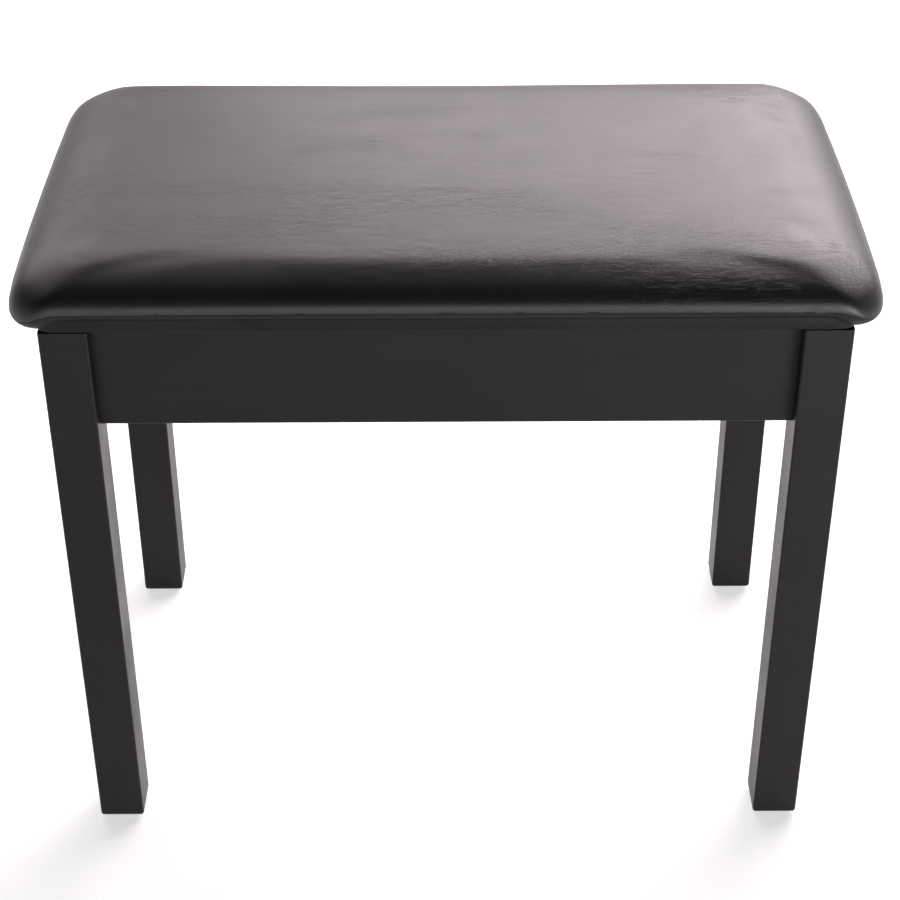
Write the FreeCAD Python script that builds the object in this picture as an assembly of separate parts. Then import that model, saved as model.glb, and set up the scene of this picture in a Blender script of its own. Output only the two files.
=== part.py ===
"""Piano bench with a hinged, padded lid over a storage compartment.

Millimetres.  +X is the bench's width, front is -Y, +Z is up.
The origin is on the floor under the middle of the bench.
"""
import FreeCAD, Part
import math
import os

os.makedirs("parts", exist_ok=True)

# frame
frame_width = 522.0          # across the outer faces of the legs
frame_depth = 308.0
frame_top = 423.0
leg_side = 32.0
leg_edge_radius = 1.5
foot_edge_radius = 3.5
glide_thickness = 1.5
glide_radius = 9.0
apron_height = 76.0
apron_thickness = 16.0
apron_setback = 11.0         # front and side aprons behind the legs' outer faces
apron_edge_radius = 1.0

# joints between aprons and legs
dowel_radius = 4.0
dowel_depth = 15.0           # into each of the two pieces
rail_dowel_heights = (14.0, 54.0)    # front and rear aprons, above the lower edge
side_dowel_heights = (26.0, 64.0)    # side aprons, so that the dowels cross clear of each other
glue_clearance = 0.05

# corner blocks and their bolts
block_height = 36.0
block_leg_gap = 0.7          # between the block's inner slope and the leg's corner
block_thickness = 25.5       # along the bolt
block_middle = 40.0          # above the aprons' lower edge
bolt_radius = 3.0
bolt_hole_clearance = 0.25
bolt_leg_depth = 24.0
bolt_free_end = 3.0
washer_radius = 8.0
washer_thickness = 1.5
nut_across_flats = 10.0
nut_thickness = 5.0

# storage compartment
bottom_thickness = 4.0
groove_depth = 4.0
groove_clearance = 0.1
bottom_height = 6.0          # above the aprons' lower edge
bottom_leg_clearance = 0.5

# lid
lid_gap = 2.0                # between the frame's top and the lid's underside
lid_board_thickness = 10.8
lid_overhang = 3.0           # covered front and side edges, past the legs
lid_corner_radius = 14.0
bumper_radius = 6.0
bumper_clearance = 0.05

# cushion
cushion_side_overhang = 18.0     # past the lid's covered side edges
cushion_front_overhang = 7.0
cushion_height = 32.0        # above the wrapped edge of the lid board
cushion_corner_radius = 30.0
cushion_top_roll = 15.0
cushion_lower_roll = 8.0
cover_thickness = 1.2
foam_clearance = 0.2
hem_width = 24.0
staple_width = 10.0
staple_wire = 0.6
staple_leg = 6.0
staple_spacing = 46.0
staple_inset = 19.5          # from the lid's covered edges

# hinge
hinge_length = 440.0
hinge_segments = 17
leaf_thickness = 0.95
leaf_width = 15.0
knuckle_radius = 2.4
knuckle_frame_gap = 0.4      # between the knuckles and the frame's rear face
knuckle_end_gap = 0.15
pin_radius = 1.2
pin_fixed_clearance = 0.02
pin_running_clearance = 0.05
hinge_screw_count = 6
hinge_screw_length = 9.5
screw_shank_radius = 1.4
screw_head_radius = 3.0
screw_head_depth = 1.6
screw_clearance = 0.05

# places worked out from the values above
half_width = frame_width / 2
half_depth = frame_depth / 2
leg_x = half_width - leg_side / 2
leg_y = half_depth - leg_side / 2
leg_inner_x = half_width - leg_side
leg_inner_y = half_depth - leg_side
apron_bottom = frame_top - apron_height
side_outer_x = half_width - apron_setback
side_inner_x = side_outer_x - apron_thickness
front_outer_y = half_depth - apron_setback
front_inner_y = front_outer_y - apron_thickness
rear_inner_y = half_depth - apron_thickness
panel_floor = apron_bottom + bottom_height
lid_bottom = frame_top + lid_gap
board_bottom = lid_bottom + cover_thickness
crease_height = board_bottom + lid_board_thickness
cushion_top = crease_height + cushion_height
lid_half_width = half_width + lid_overhang
lid_front_y = -half_depth - lid_overhang
cushion_half_width = lid_half_width + cushion_side_overhang
cushion_half_depth = half_depth + lid_overhang + cushion_front_overhang
hinge_y = half_depth + knuckle_frame_gap + knuckle_radius
hinge_z = frame_top + lid_gap / 2
bolt_height = apron_bottom + block_middle

CORNERS = {
    "front_left": (-1, -1),
    "front_right": (1, -1),
    "rear_left": (-1, 1),
    "rear_right": (1, 1),
}


def vec(x, y, z):
    return FreeCAD.Vector(x, y, z)


def block(x0, x1, y0, y1, z0, z1):
    """Box between two opposite corners."""
    return Part.makeBox(x1 - x0, y1 - y0, z1 - z0, vec(x0, y0, z0))


def rod(radius, start, direction, length):
    """Round bar from a point along a direction."""
    return Part.makeCylinder(radius, length, start, direction)


def edges_along(shape, axis):
    """Straight edges that run parallel to one of the axes."""
    found = []
    for edge in shape.Edges:
        if len(edge.Vertexes) != 2:
            continue
        run = edge.Vertexes[1].Point.sub(edge.Vertexes[0].Point)
        if run.Length > 1e-6 and abs(run.normalize().dot(axis)) > 0.999:
            found.append(edge)
    return found


def edges_at_height(shape, height):
    """Edges that lie wholly in one level plane."""
    return [e for e in shape.Edges
            if abs(e.BoundBox.ZMin - height) < 1e-4 and abs(e.BoundBox.ZMax - height) < 1e-4]


def group(shapes):
    return Part.makeCompound(shapes)


def save(name, shape):
    shape.exportStep("parts/" + name + ".step")


# ---- dowels, bolts and screws, also used with a clearance as drills ----

def rail_dowels(extra=0.0):
    """Dowels along X that join the front and rear aprons to the legs."""
    pieces = []
    for y in (-(front_outer_y - apron_thickness / 2), half_depth - apron_thickness / 2):
        for side in (-1, 1):
            for height in rail_dowel_heights:
                start = vec(side * (leg_inner_x - dowel_depth), y, apron_bottom + height)
                pieces.append(rod(dowel_radius + extra, start, vec(side, 0, 0), 2 * dowel_depth))
    return pieces


def side_dowels(extra=0.0):
    """Dowels along Y that join the side aprons to the legs."""
    pieces = []
    for side in (-1, 1):
        x = side * (side_outer_x - apron_thickness / 2)
        for end in (-1, 1):
            for height in side_dowel_heights:
                start = vec(x, end * (leg_inner_y - dowel_depth), apron_bottom + height)
                pieces.append(rod(dowel_radius + extra, start, vec(0, end, 0), 2 * dowel_depth))
    return pieces


def bolt_axis(corner):
    """Point at the leg's inner corner, and the direction into the compartment."""
    sx, sy = CORNERS[corner]
    point = vec(sx * leg_inner_x, sy * leg_inner_y, bolt_height)
    inward = vec(-sx, -sy, 0).normalize()
    return point, inward


block_outer_face = block_leg_gap + block_thickness
bolt_end = block_outer_face + washer_thickness + nut_thickness + bolt_free_end


def hanger_bolt(corner, extra=0.0):
    """Hanger bolt from inside the leg to past its nut."""
    point, inward = bolt_axis(corner)
    start = point - inward * bolt_leg_depth
    return rod(bolt_radius + extra, start, inward, bolt_leg_depth + bolt_end)


def bolt_drills():
    """Room for all four hanger bolts, for pieces that meet beside a leg."""
    return [hanger_bolt(corner, bolt_hole_clearance) for corner in CORNERS]


def washer(corner):
    point, inward = bolt_axis(corner)
    seat = point + inward * block_outer_face
    disc = rod(washer_radius, seat, inward, washer_thickness)
    return disc.cut(hanger_bolt(corner, bolt_hole_clearance))


def nut(corner):
    """Hexagonal nut against the washer."""
    point, inward = bolt_axis(corner)
    seat = point + inward * (block_outer_face + washer_thickness)
    across = vec(0, 0, 1).cross(inward)
    radius = nut_across_flats / math.sqrt(3)
    corners = []
    for step in range(7):
        angle = math.radians(60 * step)
        corners.append(seat + across * (radius * math.cos(angle)) + vec(0, 0, radius * math.sin(angle)))
    prism = Part.Face(Part.makePolygon(corners)).extrude(inward * nut_thickness)
    return prism.cut(hanger_bolt(corner, glue_clearance))


def countersunk_screw(x, y, z, up, length, extra=0.0):
    """Screw with its flat head level with z and its shank running up (1) or down (-1)."""
    axis = vec(0, 0, up)
    head = Part.makeCone(screw_head_radius + extra, screw_shank_radius + extra, screw_head_depth,
                         vec(x, y, z), axis)
    shank = rod(screw_shank_radius + extra, vec(x, y, z), axis, length + extra)
    return head.fuse(shank).removeSplitter()


def hinge_screws(up, extra=0.0):
    """One leaf's screws: up is 1 for the lid leaf and -1 for the frame leaf."""
    pitch = hinge_length / hinge_screw_count
    face = hinge_z + up * (lid_gap / 2 - leaf_thickness)
    y = half_depth - leaf_width / 2
    pieces = []
    for index in range(hinge_screw_count):
        x = -hinge_length / 2 + pitch * (index + 0.5) + up * pitch / 8
        pieces.append(countersunk_screw(x, y, face, up, hinge_screw_length, extra))
    return pieces


# ---- wooden frame ----

def leg(corner):
    """Square leg, drilled for its dowels and its hanger bolt."""
    sx, sy = CORNERS[corner]
    x, y, half = sx * leg_x, sy * leg_y, leg_side / 2
    post = block(x - half, x + half, y - half, y + half, glide_thickness, frame_top)
    post = post.makeFillet(leg_edge_radius, edges_along(post, vec(0, 0, 1)))
    post = post.makeFillet(foot_edge_radius, edges_at_height(post, glide_thickness))
    for drill in rail_dowels(glue_clearance) + side_dowels(glue_clearance):
        post = post.cut(drill)
    return post.cut(hanger_bolt(corner, glue_clearance))


def bottom_groove():
    """Room for the compartment's bottom panel, taken out of all four aprons."""
    x = side_inner_x + groove_depth + groove_clearance
    return block(-x, x,
                 -front_inner_y - groove_depth - groove_clearance,
                 rear_inner_y + groove_depth + groove_clearance,
                 panel_floor - groove_clearance, panel_floor + bottom_thickness + groove_clearance)


def rail(y0, y1):
    """Front or rear apron between the legs."""
    board = block(-leg_inner_x, leg_inner_x, y0, y1, apron_bottom, frame_top)
    lower = [e for e in edges_along(board, vec(1, 0, 0)) if e.BoundBox.ZMax < apron_bottom + 1]
    board = board.makeFillet(apron_edge_radius, lower)
    board = board.cut(bottom_groove())
    for drill in rail_dowels(glue_clearance) + bolt_drills():
        board = board.cut(drill)
    return board


def front_apron():
    return rail(-front_outer_y, -front_inner_y)


def rear_apron():
    """Rear apron, level with the legs' rear faces, with pilot holes for the hinge."""
    board = rail(rear_inner_y, half_depth)
    for drill in hinge_screws(-1, screw_clearance):
        board = board.cut(drill)
    return board


def side_apron(side):
    xs = sorted((side * side_outer_x, side * side_inner_x))
    board = block(xs[0], xs[1], -leg_inner_y, leg_inner_y, apron_bottom, frame_top)
    lower = [e for e in edges_along(board, vec(0, 1, 0)) if e.BoundBox.ZMax < apron_bottom + 1]
    board = board.makeFillet(apron_edge_radius, lower)
    board = board.cut(bottom_groove())
    for drill in side_dowels(glue_clearance) + bolt_drills():
        board = board.cut(drill)
    return board


def compartment_bottom():
    """Thin panel held in the aprons' grooves, notched round the legs."""
    x = side_inner_x + groove_depth
    panel = block(-x, x, -front_inner_y - groove_depth, rear_inner_y + groove_depth,
                  panel_floor, panel_floor + bottom_thickness)
    notch_x = leg_inner_x - bottom_leg_clearance
    notch_y = leg_inner_y - bottom_leg_clearance
    for sx, sy in CORNERS.values():
        xs = sorted((sx * notch_x, sx * half_width))
        ys = sorted((sy * notch_y, sy * half_depth))
        panel = panel.cut(block(xs[0], xs[1], ys[0], ys[1], apron_bottom, frame_top))
    return panel


def corner_block(corner):
    """Glued wedge across a corner, drilled for the hanger bolt."""
    sx, sy = CORNERS[corner]
    face_x = side_inner_x
    face_y = front_inner_y if sy < 0 else rear_inner_y
    inner_sum = leg_inner_x + leg_inner_y - block_leg_gap * math.sqrt(2)
    outer_sum = inner_sum - block_thickness * math.sqrt(2)
    outline = [(face_x, inner_sum - face_x), (inner_sum - face_y, face_y),
               (outer_sum - face_y, face_y), (face_x, outer_sum - face_x)]
    z0 = bolt_height - block_height / 2
    points = [vec(sx * x, sy * y, z0) for x, y in outline]
    wedge = Part.Face(Part.makePolygon(points + points[:1])).extrude(vec(0, 0, block_height))
    return wedge.cut(hanger_bolt(corner, bolt_hole_clearance))


def foot_glide(corner):
    sx, sy = CORNERS[corner]
    return rod(glide_radius, vec(sx * leg_x, sy * leg_y, 0), vec(0, 0, 1), glide_thickness)


def bumper(side):
    """Rubber pad on a front leg's top that the lid closes on."""
    return rod(bumper_radius, vec(side * leg_x, -leg_y, frame_top), vec(0, 0, 1), lid_gap - bumper_clearance)


# ---- hinge ----

def hinge_leaf(up):
    """Leaf with its own knuckles: up is 1 for the lid leaf and -1 for the frame leaf."""
    outer = hinge_z + up * lid_gap / 2
    inner = outer - up * leaf_thickness
    zs = sorted((outer, inner))
    half = hinge_length / 2
    shape = block(-half, half, half_depth - leaf_width, half_depth, zs[0], zs[1])
    pitch = hinge_length / hinge_segments
    clearance = pin_running_clearance if up > 0 else pin_fixed_clearance
    first = 1 if up > 0 else 0
    for index in range(first, hinge_segments, 2):
        x0 = -half + pitch * index + knuckle_end_gap
        x1 = -half + pitch * (index + 1) - knuckle_end_gap
        tab = block(x0, x1, half_depth - 1, hinge_y, zs[0], zs[1])
        tube = rod(knuckle_radius, vec(x0, hinge_y, hinge_z), vec(1, 0, 0), x1 - x0)
        shape = shape.fuse([tab, tube])
    shape = shape.removeSplitter()
    shape = shape.cut(rod(pin_radius + clearance, vec(-half, hinge_y, hinge_z), vec(1, 0, 0), hinge_length))
    for drill in hinge_screws(up, screw_clearance):
        shape = shape.cut(drill)
    return shape


def hinge_pin():
    half = hinge_length / 2
    return rod(pin_radius, vec(-half, hinge_y, hinge_z), vec(1, 0, 0), hinge_length)


# ---- lid ----

def rounded_slab(x, y0, y1, z0, z1, radius):
    slab = block(-x, x, y0, y1, z0, z1)
    return slab.makeFillet(radius, edges_along(slab, vec(0, 0, 1)))


def lid_slab(inset, z0, z1):
    """The lid's outline under the cushion, or the same outline a distance inside it."""
    return rounded_slab(lid_half_width - inset, lid_front_y + inset, half_depth - inset,
                        z0, z1, lid_corner_radius - inset)


def lid_board():
    """Plywood board whose edges the cover is pulled round."""
    board = lid_slab(cover_thickness, board_bottom, crease_height + cover_thickness)
    for drill in hinge_screws(1, screw_clearance) + staples():
        board = board.cut(drill)
    return board


def cushion_body(inset):
    """The cushion's closed outer shape above the lid, or the same shape a distance inside it."""
    body = rounded_slab(cushion_half_width - inset, inset - cushion_half_depth, cushion_half_depth - inset,
                        crease_height + inset, cushion_top - inset, cushion_corner_radius - inset)
    body = body.makeFillet(cushion_top_roll - inset, edges_at_height(body, cushion_top - inset))
    return body.makeFillet(cushion_lower_roll - inset, edges_at_height(body, crease_height + inset))


def staples():
    """Staples that hold the cover's hem to the lid board's underside."""
    reach_x = lid_half_width - staple_inset
    front_y = lid_front_y + staple_inset
    rear_y = half_depth - staple_inset
    count_x = int(2 * (reach_x - cushion_corner_radius) / staple_spacing)
    count_y = int((rear_y - front_y - 2 * cushion_corner_radius) / staple_spacing)
    places = []
    for index in range(count_x + 1):
        x = (index - count_x / 2) * staple_spacing
        places += [(x, front_y, 0), (x, rear_y, 0)]
    for index in range(count_y + 1):
        y = (front_y + rear_y) / 2 + (index - count_y / 2) * staple_spacing
        places += [(-reach_x, y, 90), (reach_x, y, 90)]
    pieces = []
    for x, y, turn in places:
        half = staple_width / 2
        thin = staple_wire / 2
        crown = block(-half, half, -thin, thin, 0, staple_wire)
        legs = [block(-half, -half + staple_wire, -thin, thin, 0, staple_leg),
                block(half - staple_wire, half, -thin, thin, 0, staple_leg)]
        piece = crown.fuse(legs).removeSplitter()
        piece.rotate(vec(0, 0, 0), vec(0, 0, 1), turn)
        piece.translate(vec(x, y, lid_bottom))
        pieces.append(piece)
    return pieces


def seat_cover():
    """Skin round the foam and the lid board's edges, open underneath inside the hem."""
    outside = cushion_body(0.0).fuse(lid_slab(0.0, lid_bottom, crease_height + cushion_lower_roll))
    inside = cushion_body(cover_thickness).fuse(
        lid_slab(cover_thickness, board_bottom, crease_height + cushion_lower_roll))
    skin = outside.removeSplitter().cut(inside.removeSplitter())
    window = block(-lid_half_width + hem_width, lid_half_width - hem_width,
                   lid_front_y + hem_width, half_depth - hem_width, lid_bottom, board_bottom)
    skin = skin.cut(window)
    for drill in hinge_screws(1, screw_clearance) + staples():
        skin = skin.cut(drill)
    return skin


def seat_foam():
    """Foam block on the lid board."""
    return cushion_body(cover_thickness + foam_clearance)


# ---- write every piece ----

for corner in CORNERS:
    save("leg_" + corner, leg(corner))
    save("corner_block_" + corner, corner_block(corner))
save("apron_front", front_apron())
save("apron_rear", rear_apron())
save("apron_left", side_apron(-1))
save("apron_right", side_apron(1))
save("dowels", group(rail_dowels() + side_dowels()))
save("hanger_bolts", group([hanger_bolt(corner) for corner in CORNERS]))
save("bolt_washers", group([washer(corner) for corner in CORNERS]))
save("bolt_nuts", group([nut(corner) for corner in CORNERS]))
save("compartment_bottom", compartment_bottom())
save("foot_glides", group([foot_glide(corner) for corner in CORNERS]))
save("lid_bumpers", group([bumper(-1), bumper(1)]))
save("hinge_frame_leaf", hinge_leaf(-1))
save("hinge_lid_leaf", hinge_leaf(1))
save("hinge_pin", hinge_pin())
save("hinge_frame_screws", group(hinge_screws(-1)))
save("hinge_lid_screws", group(hinge_screws(1)))
save("lid_board", lid_board())
save("seat_foam", seat_foam())
save("seat_cover", seat_cover())
save("cover_staples", group(staples()))
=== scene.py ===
import math

import bpy
import numpy as np
from mathutils import Matrix, Vector, noise


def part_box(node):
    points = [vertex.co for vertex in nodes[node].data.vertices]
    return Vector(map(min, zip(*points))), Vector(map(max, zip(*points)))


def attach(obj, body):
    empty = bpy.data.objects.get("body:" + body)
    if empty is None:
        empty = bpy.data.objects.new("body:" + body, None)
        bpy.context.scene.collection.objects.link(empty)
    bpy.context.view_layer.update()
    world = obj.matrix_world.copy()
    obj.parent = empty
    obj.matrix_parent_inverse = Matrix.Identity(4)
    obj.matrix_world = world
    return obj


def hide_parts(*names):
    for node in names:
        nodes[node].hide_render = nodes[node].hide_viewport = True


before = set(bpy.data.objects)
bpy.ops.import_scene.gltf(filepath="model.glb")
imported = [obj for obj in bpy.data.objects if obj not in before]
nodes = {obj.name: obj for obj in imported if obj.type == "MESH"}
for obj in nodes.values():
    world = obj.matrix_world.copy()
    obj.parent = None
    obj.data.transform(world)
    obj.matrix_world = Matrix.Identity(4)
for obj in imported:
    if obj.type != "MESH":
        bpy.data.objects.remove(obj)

scene = bpy.context.scene
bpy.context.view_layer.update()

# camera
cameraSet = {
    "place": (-0.0003, -1.2714, 1.0853),   # metres, in front of and above the bench
    "pitchDown": 33.97,                    # degrees
    "turnRight": 0.126,
    "roll": -0.195,
    "lens": 81.4,                          # mm, on a sensor 36 mm wide
}


def makeCamera(settings):
    pitch = math.radians(settings["pitchDown"])
    turn = math.radians(settings["turnRight"])
    roll = math.radians(settings["roll"])
    ahead = Vector((math.sin(turn) * math.cos(pitch), math.cos(turn) * math.cos(pitch), -math.sin(pitch)))
    level = Vector((math.cos(turn), -math.sin(turn), 0))
    right = level * math.cos(roll) + level.cross(ahead) * math.sin(roll)
    data = bpy.data.cameras.new("benchCamera")
    data.lens = settings["lens"]
    data.sensor_width = 36
    camera = bpy.data.objects.new("benchCamera", data)
    scene.collection.objects.link(camera)
    axes = Matrix((right, right.cross(ahead), -ahead)).transposed().to_4x4()
    camera.matrix_world = Matrix.Translation(settings["place"]) @ axes
    scene.camera = camera


makeCamera(cameraSet)
print("camera placed")


# small helpers for shader trees
def startMaterial(name, metallic, specular=0.5):
    material = bpy.data.materials.new(name)
    material.use_nodes = True
    tree = material.node_tree
    shader = tree.nodes["Principled BSDF"]
    shader.inputs["Metallic"].default_value = metallic
    shader.inputs["Specular IOR Level"].default_value = specular
    return material, tree, shader


def addNode(tree, kind, **values):
    node = tree.nodes.new(kind)
    for name, value in values.items():
        if name in node.inputs:
            node.inputs[name].default_value = value
        else:
            setattr(node, name, value)
    return node


def stretchedPlace(tree, scale):
    place = addNode(tree, "ShaderNodeTexCoord")
    stretch = addNode(tree, "ShaderNodeMapping")
    stretch.inputs["Scale"].default_value = scale
    tree.links.new(place.outputs["Object"], stretch.inputs["Vector"])
    return stretch.outputs["Vector"]


def noiseAt(tree, vector, scale, detail=4.0, rough=0.55, twist=0.0):
    texture = addNode(tree, "ShaderNodeTexNoise", Scale=scale, Detail=detail, Roughness=rough,
                      Distortion=twist)
    tree.links.new(vector, texture.inputs["Vector"])
    return texture.outputs["Fac"]


def remap(tree, value, low, high, toLow, toHigh):
    node = addNode(tree, "ShaderNodeMapRange")
    node.inputs["From Min"].default_value = low
    node.inputs["From Max"].default_value = high
    node.inputs["To Min"].default_value = toLow
    node.inputs["To Max"].default_value = toHigh
    tree.links.new(value, node.inputs["Value"])
    return node.outputs["Result"]


def sums(tree, operation, first, second):
    node = addNode(tree, "ShaderNodeMath", operation=operation)
    for socket, value in zip(node.inputs, (first, second)):
        if isinstance(value, (int, float)):
            socket.default_value = value
        else:
            tree.links.new(value, socket)
    return node.outputs["Value"]


def colourBetween(tree, value, dark, light, low=0.3, high=0.7):
    ramp = addNode(tree, "ShaderNodeValToRGB")
    ramp.color_ramp.elements[0].position = low
    ramp.color_ramp.elements[0].color = (*dark, 1)
    ramp.color_ramp.elements[1].position = high
    ramp.color_ramp.elements[1].color = (*light, 1)
    tree.links.new(value, ramp.inputs["Fac"])
    return ramp.outputs["Color"]


def addBump(tree, shader, height, strength):
    # heights are in metres
    bump = addNode(tree, "ShaderNodeBump", Distance=1.0, Strength=strength)
    tree.links.new(height, bump.inputs["Height"])
    tree.links.new(bump.outputs["Normal"], shader.inputs["Normal"])


# black vinyl: fine leather grain, with clusters of hair creases that run across the seat
vinylSet = {
    "dark": (0.0065, 0.0062, 0.0066),
    "light": (0.0105, 0.0098, 0.0102),
    "grainScale": 900,
    "grainWidth": 0.35,
    "grainDepth": 0.00004,
    "creaseStretch": (60, 340, 340),     # per metre: long in X, close in Y
    "creaseWidth": 0.035,
    "creaseDepth": 0.00008,
    "clusterStretch": (5, 14, 14),
    "clusterLow": 0.47,
    "clusterHigh": 0.60,
    "bump": 0.8,
    "roughLow": 0.41,
    "roughHigh": 0.44,
    "specular": 0.5,
    "paintedShadeSpecular": 0.14,                # weaker reflection for a darker copy, which paints shade on the wrapped edge and in the crease under the roll
}


def makeVinyl(name, settings, specular):
    material, tree, shader = startMaterial(name, 0.0, specular)
    plain = stretchedPlace(tree, (1, 1, 1))
    shade = noiseAt(tree, plain, 9, 5)
    colour = colourBetween(tree, shade, settings["dark"], settings["light"])
    tree.links.new(colour, shader.inputs["Base Color"])
    cells = addNode(tree, "ShaderNodeTexVoronoi", feature="DISTANCE_TO_EDGE", Scale=settings["grainScale"])
    tree.links.new(plain, cells.inputs["Vector"])
    grain = remap(tree, cells.outputs["Distance"], 0.0, settings["grainWidth"], 0.0, settings["grainDepth"])
    streaks = noiseAt(tree, stretchedPlace(tree, settings["creaseStretch"]), 1.0, 3, 0.5, 0.6)
    ridge = sums(tree, "ABSOLUTE", sums(tree, "SUBTRACT", streaks, 0.5), 0.0)
    crease = remap(tree, ridge, 0.0, settings["creaseWidth"], 0.0, 1.0)
    cluster = noiseAt(tree, stretchedPlace(tree, settings["clusterStretch"]), 1.0, 2)
    where = remap(tree, cluster, settings["clusterLow"], settings["clusterHigh"], 0.0, 1.0)
    depth = sums(tree, "MULTIPLY", where, settings["creaseDepth"])
    height = sums(tree, "ADD", grain, sums(tree, "MULTIPLY", crease, depth))
    addBump(tree, shader, height, settings["bump"])
    patches = noiseAt(tree, plain, 26, 6, 0.6)
    tree.links.new(remap(tree, patches, 0.3, 0.7, settings["roughLow"], settings["roughHigh"]),
                   shader.inputs["Roughness"])
    return material


# satin black paint over wood: faint grain telegraphs through, with roller texture on top
paintSet = {
    "dark": (0.0054, 0.0044, 0.0056),
    "light": (0.0082, 0.0067, 0.0084),
    "grainDepth": 0.00012,
    "grainStretch": 170,
    "alongStretch": 5,
    "rollerScale": 620,
    "rollerDepth": 0.00004,
    "cloudScale": 14,
    "bump": 0.7,
    "specular": 0.2,
    "roughLow": 0.34,
    "roughHigh": 0.46,
}


def makePaint(settings, name, along):
    material, tree, shader = startMaterial(name, 0.0, settings["specular"])
    stretch = [settings["grainStretch"]] * 3
    stretch[along] = settings["alongStretch"]
    grain = noiseAt(tree, stretchedPlace(tree, stretch), 1.0, 5, 0.6, 0.3)
    plain = stretchedPlace(tree, (1, 1, 1))
    roller = noiseAt(tree, plain, settings["rollerScale"], 3)
    cloud = noiseAt(tree, plain, settings["cloudScale"], 5)
    mixed = sums(tree, "ADD", sums(tree, "MULTIPLY", grain, 0.5), sums(tree, "MULTIPLY", cloud, 0.5))
    colour = colourBetween(tree, mixed, settings["dark"], settings["light"])
    tree.links.new(colour, shader.inputs["Base Color"])
    height = sums(tree, "ADD", sums(tree, "MULTIPLY", grain, settings["grainDepth"]),
                  sums(tree, "MULTIPLY", roller, settings["rollerDepth"]))
    addBump(tree, shader, height, settings["bump"])
    tree.links.new(remap(tree, cloud, 0.3, 0.7, settings["roughLow"], settings["roughHigh"]),
                   shader.inputs["Roughness"])
    return material


# bare woods, by colour and the direction of their grain
woodSet = {
    "pine": {"dark": (0.30, 0.17, 0.075), "light": (0.56, 0.38, 0.20), "along": 2, "rings": 260},
    "beech": {"dark": (0.38, 0.23, 0.12), "light": (0.58, 0.40, 0.24), "along": 0, "rings": 420},
    "plywood": {"dark": (0.33, 0.20, 0.10), "light": (0.55, 0.39, 0.23), "along": 0, "rings": 120},
    "hardboard": {"dark": (0.060, 0.040, 0.028), "light": (0.115, 0.080, 0.055), "along": 1, "rings": 500},
}
poreDepth = 0.00015
grainStretch = 22                # how many times longer the grain is than it is wide


def makeBareWood(name, settings):
    material, tree, shader = startMaterial(name, 0.0, 0.3)
    stretch = [settings["rings"]] * 3
    stretch[settings["along"]] = settings["rings"] / grainStretch
    vector = stretchedPlace(tree, stretch)
    figure = noiseAt(tree, vector, 1.0, 6, 0.62, 1.2)
    pores = noiseAt(tree, vector, 7.0, 2, 0.5)
    tone = sums(tree, "ADD", sums(tree, "MULTIPLY", figure, 0.75), sums(tree, "MULTIPLY", pores, 0.25))
    colour = colourBetween(tree, tone, settings["dark"], settings["light"])
    tree.links.new(colour, shader.inputs["Base Color"])
    addBump(tree, shader, sums(tree, "MULTIPLY", pores, poreDepth), 0.8)
    tree.links.new(remap(tree, figure, 0.3, 0.7, 0.72, 0.58), shader.inputs["Roughness"])
    return material


# metals, with the fine lines of rolling and a little tarnish
metalSet = {
    "brassPlate": {"clean": (0.62, 0.44, 0.17), "dull": (0.34, 0.23, 0.09), "along": 0},
    "zincPlate": {"clean": (0.58, 0.58, 0.57), "dull": (0.33, 0.33, 0.34), "along": 2},
}
rollLineDepth = 0.00003


def makeMetal(name, settings):
    material, tree, shader = startMaterial(name, 1.0)
    stretch = [1400, 1400, 1400]
    stretch[settings["along"]] = 30
    lines = noiseAt(tree, stretchedPlace(tree, stretch), 1.0, 3)
    tarnish = noiseAt(tree, stretchedPlace(tree, (1, 1, 1)), 60, 6, 0.65)
    tree.links.new(colourBetween(tree, tarnish, settings["dull"], settings["clean"], 0.32, 0.52),
                   shader.inputs["Base Color"])
    addBump(tree, shader, sums(tree, "MULTIPLY", lines, rollLineDepth), 0.6)
    tree.links.new(remap(tree, tarnish, 0.3, 0.6, 0.48, 0.27), shader.inputs["Roughness"])
    return material


# rubber and plastic: soft speckle
speckleDepth = 0.00005


def makeMoulded(name, dark, light, rough):
    material, tree, shader = startMaterial(name, 0.0, 0.4)
    speckle = noiseAt(tree, stretchedPlace(tree, (1, 1, 1)), 900, 3)
    tree.links.new(colourBetween(tree, speckle, dark, light), shader.inputs["Base Color"])
    addBump(tree, shader, sums(tree, "MULTIPLY", speckle, speckleDepth), 0.6)
    tree.links.new(remap(tree, speckle, 0.3, 0.7, rough, rough + 0.12), shader.inputs["Roughness"])
    return material


vinyl = makeVinyl("blackVinyl", vinylSet, vinylSet["specular"])
# a darker copy of the same vinyl, with weaker reflection: painted shade for the wrapped edge and the crease
# under the roll
shadedVinyl = makeVinyl("blackVinylPaintedShade", vinylSet, vinylSet["paintedShadeSpecular"])
paintUpright = makePaint(paintSet, "blackPaintUpright", 2)
paintAcross = makePaint(paintSet, "blackPaintAcross", 0)
paintDeep = makePaint(paintSet, "blackPaintDeep", 1)
woods = {name: makeBareWood(name, settings) for name, settings in woodSet.items()}
metals = {name: makeMetal(name, settings) for name, settings in metalSet.items()}
rubber = makeMoulded("bumperRubber", (0.012, 0.012, 0.012), (0.022, 0.021, 0.021), 0.62)
glidePlastic = makeMoulded("glidePlastic", (0.03, 0.03, 0.03), (0.05, 0.05, 0.05), 0.45)
print("materials made")

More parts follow.
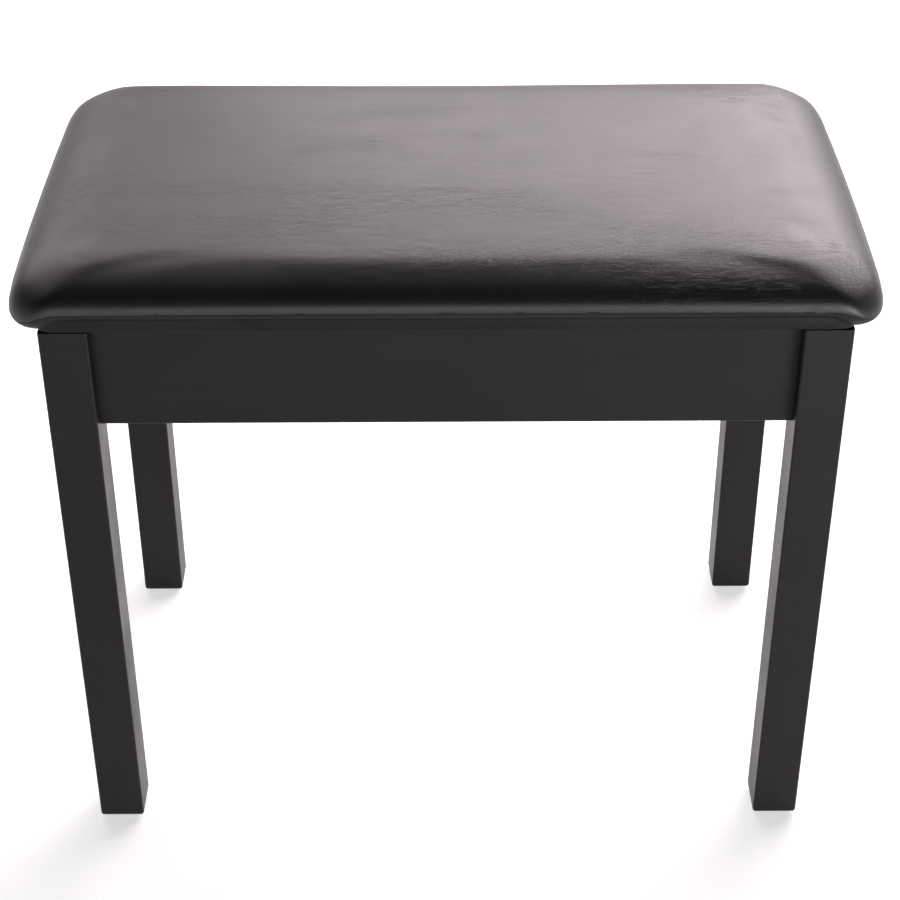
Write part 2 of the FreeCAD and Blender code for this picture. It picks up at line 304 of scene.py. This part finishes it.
# what each part of the frame is finished with
corners = ("front_left", "front_right", "rear_left", "rear_right")
finishes = {
    "apron_front": paintAcross,
    "apron_rear": paintAcross,
    "apron_left": paintDeep,
    "apron_right": paintDeep,
    "dowels": woods["beech"],
    "compartment_bottom": woods["hardboard"],
    "lid_board": woods["plywood"],
    "hanger_bolts": metals["zincPlate"],
    "bolt_washers": metals["zincPlate"],
    "bolt_nuts": metals["zincPlate"],
    "cover_staples": metals["zincPlate"],
    "hinge_frame_leaf": metals["brassPlate"],
    "hinge_lid_leaf": metals["brassPlate"],
    "hinge_pin": metals["brassPlate"],
    "hinge_frame_screws": metals["brassPlate"],
    "hinge_lid_screws": metals["brassPlate"],
    "lid_bumpers": rubber,
    "foot_glides": glidePlastic,
}
for corner in corners:
    finishes["leg_" + corner] = paintUpright
    finishes["corner_block_" + corner] = woods["pine"]
for name, material in finishes.items():
    for materialSlot in nodes[name].material_slots:
        materialSlot.material = material
print("frame dressed")


# cushion: a crowned foam pad whose vinyl is drawn down round the lid board's edge
boardLow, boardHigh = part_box("lid_board")
coverLow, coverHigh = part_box("seat_cover")
cushionSet = {
    "sideBow": 0.0020,           # how far the ends swell between their corners
    "frontBow": 0.0006,
    "cornerRadius": 0.028,
    "topCornerRadius": 0.030,    # where the roll meets the crown
    "wrapCornerRadius": 0.0143,
    "wrapGap": 0.0003,           # from the wrapped edge to the pad's lower lip
    "boardGap": 0.0005,          # between the board and the pad's underside
    "lipHeight": 0.0108,         # lip above the wrapped edge's foot, along the front and rear
    "cornerLipHeight": 0.0012,   # and round the corners and ends
    "widestHeight": 0.0195,      # above the wrapped edge's foot, along the front and rear
    "sideWidestHeight": 0.0150,
    "cornerWidestHeight": 0.0085,
    "endBlend": (0.031, 0.005),      # from the ends, where the end's heights take over
    "cornerBlend": (0.050, 0.012),   # from the front and rear, where the corner's do
    "rollDepth": 0.032,          # along the front
    "endRollDepth": 0.031,
    "rearRollDepth": 0.024,
    "rollTop": 0.0358,           # above the wrapped edge's foot
    "crownHeight": 0.0066,
    "endFall": 5.0,              # powers by which the crown falls: high ones stay up longer
    "frontFall": 2.2,
    "rearFall": 4.0,
    "dip": 0.0034,               # of the rear edge, in its middle
    "sleek": 14,                 # rounds of evening out what the cloth moved
    "cellsAcross": 110,
    "cellsDeep": 62,
    "lowerRings": 9,
    "upperRings": 14,
    "pressure": 4.0,
    "puff": 0.0013,              # how far the skin may swell
    "pullsPerSide": 5,           # where staples draw the skin in, either side of the middle one
    "pullSpacing": 0.046,
    "pullDrift": 0.006,
    "pullWidth": 0.0035,
    "pullDepth": 0.00045,
}


def outline(halfX, frontY, rearY, radius, cellsAcross, cellsDeep):
    # evenly spaced points from the middle of the front left corner, round by the right
    points = []
    quarter = radius * math.pi / 2
    sides = (
        ((-halfX + radius, frontY), (1, 0), cellsAcross, 2 * halfX - 2 * radius),
        ((halfX, frontY + radius), (0, 1), cellsDeep, rearY - frontY - 2 * radius),
        ((halfX - radius, rearY), (-1, 0), cellsAcross, 2 * halfX - 2 * radius),
        ((-halfX, rearY - radius), (0, -1), cellsDeep, rearY - frontY - 2 * radius),
    )
    for (startX, startY), (dx, dy), cells, straight in sides:
        inX, inY = -dy, dx                       # towards the middle
        for step in range(cells):
            run = (straight + quarter) * step / cells - quarter / 2
            if run < 0:
                angle = run / radius
                along, inward = radius * math.sin(angle), radius * (1 - math.cos(angle))
            elif run > straight:
                angle = (run - straight) / radius
                along, inward = straight + radius * math.sin(angle), radius * (1 - math.cos(angle))
            else:
                along, inward = run, 0.0
            points.append((startX + dx * along + inX * inward, startY + dy * along + inY * inward))
    return np.array(points)


def smooth(values, low, high):
    t = np.clip((values - low) / (high - low), 0, 1)
    return t * t * (3 - 2 * t)


def crown(settings, x, y, halfX, halfY):
    u, v = np.abs(x) / halfX, np.abs(y) / halfY
    # the crown stays up towards the rear
    fall = np.where(y > 0, settings["rearFall"], settings["frontFall"])
    rise = (1 - np.clip(u, 0, 1) ** settings["endFall"]) * (1 - np.clip(v, 0, 1) ** fall)
    dip = np.cos(np.clip(u * 1.15, 0, 1) * math.pi / 2) ** 2 * smooth(y / halfY, 0.1, 0.95)
    return settings["crownHeight"] * rise - settings["dip"] * dip


def cushionRings(settings):
    halfX = coverHigh.x - settings["sideBow"]
    halfY = coverHigh.y - settings["frontBow"]
    foot = coverLow.z
    counts = (settings["cellsAcross"], settings["cellsDeep"])
    widest = outline(halfX, -halfY, halfY, settings["cornerRadius"], *counts)
    bowX = settings["sideBow"] * (1 - (widest[:, 1] / halfY) ** 2) * (np.abs(widest[:, 0]) / halfX) ** 8
    bowY = settings["frontBow"] * (1 - (widest[:, 0] / halfX) ** 2) * (np.abs(widest[:, 1]) / halfY) ** 8
    widest = widest + np.sign(widest) * np.column_stack((bowX, bowY))
    gap = settings["wrapGap"]
    skin = boardLow.z - coverLow.z
    lip = outline(boardHigh.x + skin + gap, boardLow.y - skin - gap, boardHigh.y + skin + gap,
                  settings["wrapCornerRadius"], *counts)
    endFar, endNear = settings["endBlend"]
    cornerFar, cornerNear = settings["cornerBlend"]
    ends = smooth(np.abs(widest[:, 0]), halfX - endFar, halfX - endNear)
    lipZ = foot + settings["lipHeight"] + (settings["cornerLipHeight"] - settings["lipHeight"]) * ends
    corner = ends * smooth(np.abs(widest[:, 1]), halfY - cornerFar, halfY - cornerNear)
    widestZ = (foot + settings["widestHeight"]
               + (settings["sideWidestHeight"] - settings["widestHeight"]) * ends
               + (settings["cornerWidestHeight"] - settings["sideWidestHeight"]) * corner)
    pulls = np.zeros(len(widest))
    frontOrRear = np.abs(widest[:, 1]) > halfY * 0.9
    for index in range(-settings["pullsPerSide"], settings["pullsPerSide"] + 1):
        drift = settings["pullDrift"] * noise.noise(Vector((index * 3.7, 0.3, 0)))
        place = index * settings["pullSpacing"] + drift
        depth = settings["pullDepth"] * (0.35 + abs(noise.noise(Vector((index * 1.9, 5.1, 0)))) * 2)
        pulls += depth * np.exp(-((widest[:, 0] - place) / settings["pullWidth"]) ** 2) * frontOrRear
    innerFoot = np.full(len(lip), boardHigh.z + settings["boardGap"])
    rings = [np.column_stack((lip, innerFoot))]
    for step in range(settings["lowerRings"]):
        t = step / settings["lowerRings"] * math.pi / 2
        flat = lip + (widest - lip) * math.sin(t)
        flat[:, 1] -= np.sign(flat[:, 1]) * pulls * math.sin(2 * t)
        height = lipZ + (widestZ - lipZ) * (1 - math.cos(t))
        rings.append(np.column_stack((flat, height)))
    innerRoll = outline(halfX - settings["endRollDepth"], settings["rollDepth"] - halfY,
                        halfY - settings["rearRollDepth"], settings["topCornerRadius"], *counts)
    for step in range(settings["upperRings"] + 1):
        t = step / settings["upperRings"] * math.pi / 2
        flat = widest + (innerRoll - widest) * (1 - math.cos(t))
        flat[:, 1] -= np.sign(flat[:, 1]) * pulls * 0.5 * math.cos(t) ** 3
        height = widestZ + (foot + settings["rollTop"] - widestZ) * math.sin(t)
        share = float(smooth(1 - math.cos(t), 0, 1))
        height = height + crown(settings, flat[:, 0], flat[:, 1], halfX, halfY) * share
        rings.append(np.column_stack((flat, height)))
    return rings, halfX, halfY


def ringIndex(column, row, across, deep):
    # place in a ring of the outline point at the rim of a grid
    if row == 0:
        return column
    if column == across:
        return across + row
    if row == deep:
        return across + deep + (across - column)
    return (2 * across + 2 * deep - row) % (2 * (across + deep))


def fillGrid(rim, across, deep, heightAt, verts, faces, flip, rimStart):
    # fills a ring with a grid of four-sided faces, spaced by its rim
    index = {}
    for row in range(deep + 1):
        for column in range(across + 1):
            if row in (0, deep) or column in (0, across):
                index[column, row] = rimStart + ringIndex(column, row, across, deep)
                continue
            u, v = column / across, row / deep
            low, high = rim[ringIndex(column, 0, across, deep)], rim[ringIndex(column, deep, across, deep)]
            left, right = rim[ringIndex(0, row, across, deep)], rim[ringIndex(across, row, across, deep)]
            c00, c10 = rim[ringIndex(0, 0, across, deep)], rim[ringIndex(across, 0, across, deep)]
            c01, c11 = rim[ringIndex(0, deep, across, deep)], rim[ringIndex(across, deep, across, deep)]
            flat = ((1 - v) * low + v * high + (1 - u) * left + u * right
                    - (1 - u) * (1 - v) * c00 - u * (1 - v) * c10 - (1 - u) * v * c01 - u * v * c11)
            index[column, row] = len(verts)
            verts.append((flat[0], flat[1], heightAt(flat[0], flat[1])))
    for row in range(deep):
        for column in range(across):
            face = [index[column, row], index[column + 1, row],
                    index[column + 1, row + 1], index[column, row + 1]]
            faces.append(face[::-1] if flip else face)


def meshPiece(name, verts, faces, material):
    data = bpy.data.meshes.new(name)
    data.from_pydata([tuple(v) for v in verts], [], faces)
    data.update()
    data.materials.append(material)
    piece = bpy.data.objects.new(name, data)
    scene.collection.objects.link(piece)
    data.polygons.foreach_set("use_smooth", [True] * len(data.polygons))
    return piece


def stitchRings(rings, faces, closed=False):
    count = len(rings[0])
    pairs = range(len(rings) if closed else len(rings) - 1)
    for ring in pairs:
        upper = (ring + 1) % len(rings)
        for step in range(count):
            after = (step + 1) % count
            faces.append([ring * count + step, ring * count + after,
                          upper * count + after, upper * count + step])


def buildCushion(settings):
    rings, halfX, halfY = cushionRings(settings)
    across, deep = settings["cellsAcross"], settings["cellsDeep"]
    verts = [tuple(point) for ring in rings for point in ring]
    faces = []
    stitchRings(rings, faces)
    rollTop = coverLow.z + settings["rollTop"]

    def topHeight(x, y):
        return rollTop + float(crown(settings, np.array(x), np.array(y), halfX, halfY))

    count = len(rings[0])
    fillGrid(rings[-1], across, deep, topHeight, verts, faces, False, (len(rings) - 1) * count)
    fillGrid(rings[0], across, deep, lambda x, y: boardHigh.z + settings["boardGap"], verts, faces, True, 0)
    return meshPiece("seat_cushion", verts, faces, vinyl)


def pointsOf(piece):
    points = np.zeros(len(piece.data.vertices) * 3)
    piece.data.vertices.foreach_get("co", points)
    return points.reshape(-1, 3)


def setPoints(piece, points):
    piece.data.vertices.foreach_set("co", points.reshape(-1))
    piece.data.update()


def applyModifiers(piece):
    depsgraph = bpy.context.evaluated_depsgraph_get()
    made = bpy.data.meshes.new_from_object(piece.evaluated_get(depsgraph))
    piece.modifiers.clear()
    piece.data = made


def sleeked(piece, field, rounds):
    # evens out a field of moves between neighbours, which takes out sharp folds
    ends = np.array([edge.vertices[:] for edge in piece.data.edges])
    count = np.zeros(len(field))
    np.add.at(count, ends.reshape(-1), 1)
    for _ in range(rounds):
        total = np.zeros_like(field)
        np.add.at(total, ends[:, 0], field[ends[:, 1]])
        np.add.at(total, ends[:, 1], field[ends[:, 0]])
        field = 0.4 * field + 0.6 * total / count[:, None]
    return field


clothSet = {
    "quality": 5,
    "mass": 0.3,
    "tension_stiffness": 60,
    "compression_stiffness": 60,
    "shear_stiffness": 30,
    "bending_stiffness": 6,
}
clothFrames = 20
heldAboveLip = 0.0028


def puffCushion(piece, settings):
    # cloth under air pressure: the skin tightens over the foam, held at its lip and on the board
    start = pointsOf(piece)
    held = piece.vertex_groups.new(name="held")
    low = coverLow.z + settings["lipHeight"] + heldAboveLip
    held.add([int(i) for i in np.nonzero(start[:, 2] < low)[0]], 1.0, "REPLACE")
    cloth = piece.modifiers.new("skin", "CLOTH")
    for name, value in clothSet.items():
        setattr(cloth.settings, name, value)
    cloth.settings.vertex_group_mass = "held"
    cloth.settings.use_pressure = True
    cloth.settings.uniform_pressure_force = settings["pressure"]
    cloth.settings.effector_weights.gravity = 0
    cloth.collision_settings.use_collision = False
    for step in range(1, clothFrames + 1):
        scene.frame_set(step)
    applyModifiers(piece)
    scene.frame_set(1)
    moved = pointsOf(piece) - start
    moved = sleeked(piece, moved, settings["sleek"])
    length = np.linalg.norm(moved, axis=1)
    cap = settings["puff"]
    moved *= (cap * np.tanh(length / cap) / np.maximum(length, 1e-9))[:, None]
    setPoints(piece, start + moved)
    print("cushion puffed, by at most", round(float(np.linalg.norm(moved, axis=1).max()) * 1000, 2), "mm")


creaseSet = {
    "depth": 0.00011,
    "rows": 110,                 # noise scales, per metre
    "length": 24,
    "cluster": 9,
    "sag": 0.00012,              # unevenness of the foam
    "sagScale": 14,
    "flatEnough": 0.55,          # only where the skin faces up at least this much
}


def workCreases(piece, settings):
    # long shallow creases across the top, in clusters, and a little unevenness in the foam
    points = pointsOf(piece)
    normals = np.zeros(len(points) * 3)
    piece.data.vertices.foreach_get("normal", normals)
    normals = normals.reshape(-1, 3)
    top = normals[:, 2] > settings["flatEnough"]
    for index in np.nonzero(top)[0]:
        x, y, z = points[index]
        line = noise.noise(Vector((x * settings["length"], y * settings["rows"], 1.7)))
        cluster = noise.noise(Vector((x * settings["cluster"], y * settings["cluster"] * 2, 8.2)))
        sharp = max(0.0, 1 - abs(line) * 5) ** 2
        amount = settings["depth"] * sharp * max(0.0, min(1.0, 0.45 + cluster * 2.2))
        uneven = Vector((x * settings["sagScale"], y * settings["sagScale"], 4.4))
        swell = settings["sag"] * noise.noise(uneven)
        points[index] += normals[index] * (swell - amount)
    setPoints(piece, points)


def subdivide(piece, levels):
    modifier = piece.modifiers.new("finer", "SUBSURF")
    modifier.levels = levels
    modifier.render_levels = levels
    applyModifiers(piece)


cushion = buildCushion(cushionSet)
puffCushion(cushion, cushionSet)
subdivide(cushion, 1)
workCreases(cushion, creaseSet)
tuckedTilt = -0.12               # faces that look down more than this are tucked under the roll, and get the darker copy as painted shade
# painted shade: faces tucked under the roll take the darker copy of the vinyl
cushion.data.materials.append(shadedVinyl)
for face in cushion.data.polygons:
    tucked = face.normal.z < tuckedTilt and face.center.z < coverLow.z + cushionSet["widestHeight"]
    face.material_index = 1 if tucked else 0
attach(cushion, "lid")
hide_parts("seat_foam", "seat_cover")
print("cushion made")


# the vinyl drawn round the board's edge and turned under as a hem
wrapSet = {
    "thickness": 0.00112,
    "hem": 0.024,
    "edgeRound": 0.0016,
    "cornerRadius": 0.014,
    "top": 0.0125,              # above the foot, hidden by the cushion's lip
    "groove": ((0.0, 0.0045), (0.0, 0.0084), (0.0004, 0.0096), (0.0009, 0.0106)),   # inset and height
    "innerMiddle": 0.006,       # height of the point halfway up the inner face
    "wave": 0.00022,
    "waveScale": 30,
    "cellsAcross": 220,
    "cellsDeep": 124,
}


def buildWrap(settings):
    skin = boardLow.z - coverLow.z
    halfX = boardHigh.x + skin
    frontY, rearY = boardLow.y - skin, boardHigh.y + skin
    foot = coverLow.z
    thick, edge, hem = settings["thickness"], settings["edgeRound"], settings["hem"]
    profile = [(hem, thick), (hem, 0.0), (hem * 0.7, 0.0), (hem * 0.4, 0.0), (edge * 1.6, 0.0)]
    for step in range(6):
        angle = math.pi / 2 * step / 5
        profile.append((edge * (1 - math.sin(angle)), edge * (1 - math.cos(angle))))
    profile += settings["groove"]
    grooveInset = settings["groove"][-1][0]
    profile += [(grooveInset, settings["top"]), (thick, settings["top"]),
                (thick, settings["innerMiddle"]), (thick, thick), (hem * 0.4, thick), (hem * 0.7, thick)]
    rings = []
    for inset, height in profile:
        radius = max(settings["cornerRadius"] - inset, 0.0012)
        flat = outline(halfX - inset, frontY + inset, rearY - inset, radius,
                       settings["cellsAcross"], settings["cellsDeep"])
        heights = np.full(len(flat), foot + height)
        if height >= edge and inset == 0.0:
            scale = settings["waveScale"]
            wave = [settings["wave"] * noise.noise(Vector((x, y, height * 2)) * scale) for x, y in flat]
            flat[:, 1] -= np.sign(flat[:, 1]) * np.abs(wave)
        rings.append(np.column_stack((flat, heights)))
    verts = [tuple(point) for ring in rings for point in ring]
    faces = []
    stitchRings(rings, faces, closed=True)
    # the wrap wears the darker copy of the vinyl: painted shade on the band below the cushion
    return meshPiece("lid_edge_wrap", verts, [face[::-1] for face in faces], shadedVinyl)


wrap = buildWrap(wrapSet)
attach(wrap, "lid")
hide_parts("seat_cover")
print("edge wrap made")


# floor and light
studioSet = {
    "floorSize": 30.0,
    "floorGlow": 0.62,
    "floorShade": 0.85,
    "horizon": 0.8,
    "zenith": 0.035,
    "zenithFrom": 0.22,         # height on the sky where it has gone dark
}


def makeFloor(settings):
    half = settings["floorSize"] / 2
    material, tree, shader = startMaterial("paleFloor", 0.0, 0.2)
    shader.inputs["Base Color"].default_value = (settings["floorShade"],) * 3 + (1,)
    shader.inputs["Roughness"].default_value = 0.8
    shader.inputs["Emission Color"].default_value = (1, 1, 1, 1)
    shader.inputs["Emission Strength"].default_value = settings["floorGlow"]
    floor = meshPiece("floor", [(-half, -half, 0), (half, -half, 0), (half, half, 0), (-half, half, 0)],
                      [[0, 1, 2, 3]], material)


def makeSky(settings):
    world = bpy.data.worlds.new("studio")
    world.use_nodes = True
    scene.world = world
    tree = world.node_tree
    background = tree.nodes["Background"]
    direction = addNode(tree, "ShaderNodeTexCoord")
    split = addNode(tree, "ShaderNodeSeparateXYZ")
    tree.links.new(direction.outputs["Generated"], split.inputs["Vector"])
    ramp = addNode(tree, "ShaderNodeValToRGB")
    ramp.color_ramp.elements[0].position = 0.0
    ramp.color_ramp.elements[0].color = (settings["horizon"],) * 3 + (1,)
    ramp.color_ramp.elements[1].position = settings["zenithFrom"]
    ramp.color_ramp.elements[1].color = (settings["zenith"],) * 3 + (1,)
    tree.links.new(split.outputs["Z"], ramp.inputs["Fac"])
    tree.links.new(ramp.outputs["Color"], background.inputs["Color"])
    background.inputs["Strength"].default_value = 1.0


seatAim = (0.2, 0, 0.45)
warmPink = (1.0, 0.895, 0.93)
palePink = (1.0, 0.91, 0.94)
white = (1, 1, 1)
# place, target, width, height (metres), power (watts) and tint of each lamp
lampSet = {
    "backBox": ((1.5, 2.9, 2.15), seatAim, 4.6, 1.5, 135, warmPink),
    "backLeftBox": ((-1.9, 2.8, 2.1), (-0.2, 0, 0.45), 2.2, 1.5, 38, warmPink),
    "backRightBox": ((1.6, 2.7, 1.8), seatAim, 2.0, 1.0, 30, palePink),
    "backHighBox": ((0.9, 2.2, 3.2), seatAim, 4.0, 1.0, 30, palePink),
    "frontStrip": ((0.35, -1.95, 0.03), (0.1, -0.16, 0.44), 3.2, 0.3, 16, white),
    "frontRightStrip": ((1.3, -1.75, 0.03), (0.25, -0.16, 0.44), 0.9, 0.3, 32, white),
}


def softbox(name, place, target, width, height, power, tint):
    data = bpy.data.lights.new(name, "AREA")
    data.shape = "RECTANGLE"
    data.size = width
    data.size_y = height
    data.energy = power
    data.color = tint
    lamp = bpy.data.objects.new(name, data)
    scene.collection.objects.link(lamp)
    lamp.location = place
    lamp.rotation_euler = (Vector(target) - Vector(place)).to_track_quat("-Z", "Y").to_euler()
    lamp.visible_camera = False


makeFloor(studioSet)
makeSky(studioSet)
for name, settings in lampSet.items():
    softbox(name, *settings)
scene.view_settings.view_transform = "Standard"
print("floor and lights made")
